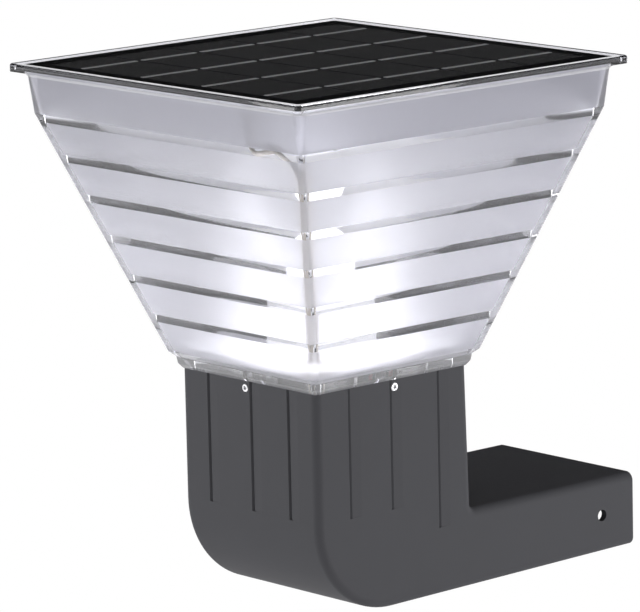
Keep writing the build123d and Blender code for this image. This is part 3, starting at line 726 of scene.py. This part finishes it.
def roundEdges(piece, values):
    selectOnly(piece)
    rounding = piece.modifiers.new("edges", "BEVEL")
    rounding.width = values["edgeRound"] * mm
    rounding.segments = values["edgeSteps"]
    rounding.limit_method = "ANGLE"
    rounding.angle_limit = math.radians(values["edgeAngle"])
    rounding.use_clamp_overlap = True
    applyModifiers(piece)
    bpy.ops.object.shade_smooth_by_angle(angle=math.radians(values["smoothAngle"]))


def dressFaces(piece, values):
    # every face is clear, apart from those that pass one of the tests
    seatTop = headZ + (values["seat"][1] + values["seatRise"]) * mm
    footTop = headZ + values["foot"][-1][1] * mm
    facesTop = headZ + values["facesTop"][1] * mm
    coveLow = headZ + (values["collarTop"][1] - values["cove"]) * mm
    coveHigh = headZ + (values["collarTop"][1] - values["coveMargin"]) * mm
    tiltLow, tiltHigh = values["frostTilt"]

    def outward(face):
        middle = face.calc_center_median()
        return middle.x * face.normal.x + (middle.y - headY) * face.normal.y

    def between(face, low, high):
        return low < face.calc_center_median().z < high

    def frosted(face):
        tilted = tiltLow < face.normal.z < tiltHigh
        return between(face, seatTop, facesTop) and outward(face) < 0 and tilted

    def onCollar(face):
        return between(face, facesTop, coveLow)

    def onCove(face):
        return between(face, coveLow, coveHigh) and outward(face) > 0

    def onFoot(face):
        return between(face, headZ, footTop) and outward(face) > 0

    tests = {"shadeFrosted": frosted, "shadeCollar": onCollar, "shadeCove": onCove, "shadeFoot": onFoot}
    for name in ("shadeClear", *tests):
        piece.data.materials.append(finishes[name])
    bpy.ops.object.mode_set(mode="EDIT")
    for index, test in enumerate(tests.values(), start=1):
        selectFaces(piece, test)
        piece.active_material_index = index
        bpy.ops.object.material_slot_assign()
    bpy.ops.object.mode_set(mode="OBJECT")


def buildShade(values):
    piece = growWalls(values)
    addBosses(piece, values)
    drillHoles(piece, values)
    roundEdges(piece, values)
    dressFaces(piece, values)
    settle(piece, "light", "clear_plastic", "shade")


buildShade(shade)
print("shade moulded")


# floor, world and lights
studio = {
    "floorDrop": 0.6,
    "floorSize": 40.0,
    "floorColor": (0.9, 0.9, 0.9),
    "floorRough": 0.9,
    "floorWhite": 1.0,
    "ceilingBand": (0.0, 0.09),  # bands go from 0 at the horizon to 1 overhead
    "ceilingGlow": 0.04,
    "worldBand": (0.1, 0.45),
    "worldLow": 1.2,
    "worldHigh": 0.12,
    "softboxAim": (0, -0.12, 0.1),
    "softboxes": (
        # azimuth, elevation, distance, size, power, and whether glossy surfaces mirror it
        (115, 0, 1.7, 0.9, 11.5, True),
        (-25, 0, 1.7, 0.9, 10.5, True),
        (165, -4, 1.9, 0.9, 9.0, False),
        (285, -4, 1.9, 0.9, 9.0, False),
    ),
    "glowColor": (0.97, 0.97, 1.0),
    "glowLamps": (
        # the chips' light inside the shade: kind, x, y, height and width in mm, and power
        # the clear ledges don't show those beside the axis, which only light the faces
        ("AREA", 0, 0, 10, 80, 0.035),
        ("POINT", 0, 0, 30, 25, 0.0145),
        ("POINT", 0, 0, 54, 13, 0.0065),
        ("POINT", 0, 0, 80, 11, 0.009),
        ("POINT", 38, 38, 68, 12, 0.026),
        ("POINT", -38, 38, 68, 12, 0.026),
        ("POINT", 38, -38, 84, 12, 0.05),
        ("POINT", -38, -38, 68, 12, 0.026),
    ),
}


def rayMask(tree, *kinds):
    # 1 for the named kinds of ray, and 0 for the others
    rays = addNode(tree, "ShaderNodeLightPath")
    mask = (rays, kinds[0])
    for kind in kinds[1:]:
        mask = addMath(tree, "MAXIMUM", mask, (rays, kind))
    return mask


def addFloor(values):
    # plain white wherever it is seen, and a matt surface for the light that it throws back
    bpy.ops.object.select_all(action="DESELECT")
    bpy.ops.mesh.primitive_plane_add(size=values["floorSize"], location=(0, 0, -values["floorDrop"]))
    floor = bpy.context.object
    floor.name = "floor"
    material, tree, surface = newMaterial("floorWhite")
    feedAll(tree, surface, {
        "Base Color": solid(values["floorColor"]),
        "Roughness": values["floorRough"],
        "Specular IOR Level": 0.0,
    })
    glow = addNode(tree, "ShaderNodeEmission", {"Color": (1, 1, 1, 1), "Strength": 1.0})
    seen = rayMask(tree, "Is Camera Ray", "Is Glossy Ray", "Is Transmission Ray")
    share = addMath(tree, "MULTIPLY", seen, values["floorWhite"])
    mix = addNode(tree, "ShaderNodeMixShader", {0: share, 1: (surface, 0), 2: (glow, 0)})
    feed(tree, (mix, 0), tree.nodes["Material Output"], "Surface")
    floor.data.materials.append(material)


def addWorld(values):
    # white to the camera, white up to the horizon in glossy and clear surfaces, and brighter low
    # down than overhead as light
    world = bpy.data.worlds.new("studio")
    bpy.context.scene.world = world
    world.use_nodes = True
    tree = world.node_tree
    place = addNode(tree, "ShaderNodeTexCoord")
    split = addNode(tree, "ShaderNodeSeparateXYZ", {0: (place, "Generated")})

    def fade(band, low, high):
        return addRange(tree, (split, "Z"), band, (low, high), interpolation_type="SMOOTHSTEP")

    hidden = addNode(tree, "ShaderNodeMix", {
        "Factor": rayMask(tree, "Is Glossy Ray", "Is Transmission Ray"),
        "A": fade(values["worldBand"], values["worldLow"], values["worldHigh"]),
        "B": fade(values["ceilingBand"], 1.0, values["ceilingGlow"]),
    }, data_type="FLOAT")
    strength = addNode(tree, "ShaderNodeMix", {
        "Factor": rayMask(tree, "Is Camera Ray"),
        "A": (hidden, 0),
        "B": 1.0,
    }, data_type="FLOAT")
    feedAll(tree, tree.nodes["Background"], {"Color": (1, 1, 1, 1), "Strength": (strength, 0)})


def addLamp(name, kind, width, power):
    data = bpy.data.lights.new(name, kind)
    if kind == "AREA":
        data.size = width
    else:
        data.shadow_soft_size = width
    data.energy = power
    lamp = bpy.data.objects.new(name, data)
    bpy.context.scene.collection.objects.link(lamp)
    lamp.visible_camera = False
    return lamp


def addLights(values):
    for number, (azimuth, elevation, distance, size, power, glossy) in enumerate(values["softboxes"]):
        out = wayOut(azimuth, elevation)
        box = addLamp(f"softbox{number + 1}", "AREA", size, power)
        box.location = Vector(values["softboxAim"]) + out * distance
        box.rotation_euler = (-out).to_track_quat("-Z", "Y").to_euler()
        box.visible_glossy = glossy
    for number, (kind, x, y, height, width, power) in enumerate(values["glowLamps"]):
        lamp = addLamp(f"shadeGlow{number + 1}", kind, width * mm, power)
        lamp.data.color = values["glowColor"]
        lamp.location = atHead(x, y, height)
        lamp.rotation_euler = (math.pi, 0, 0)  # facing up
        lamp.visible_transmission = x == 0


addFloor(studio)
addWorld(studio)
addLights(studio)
bpy.context.scene.view_settings.view_transform = "Standard"
print("studio set")
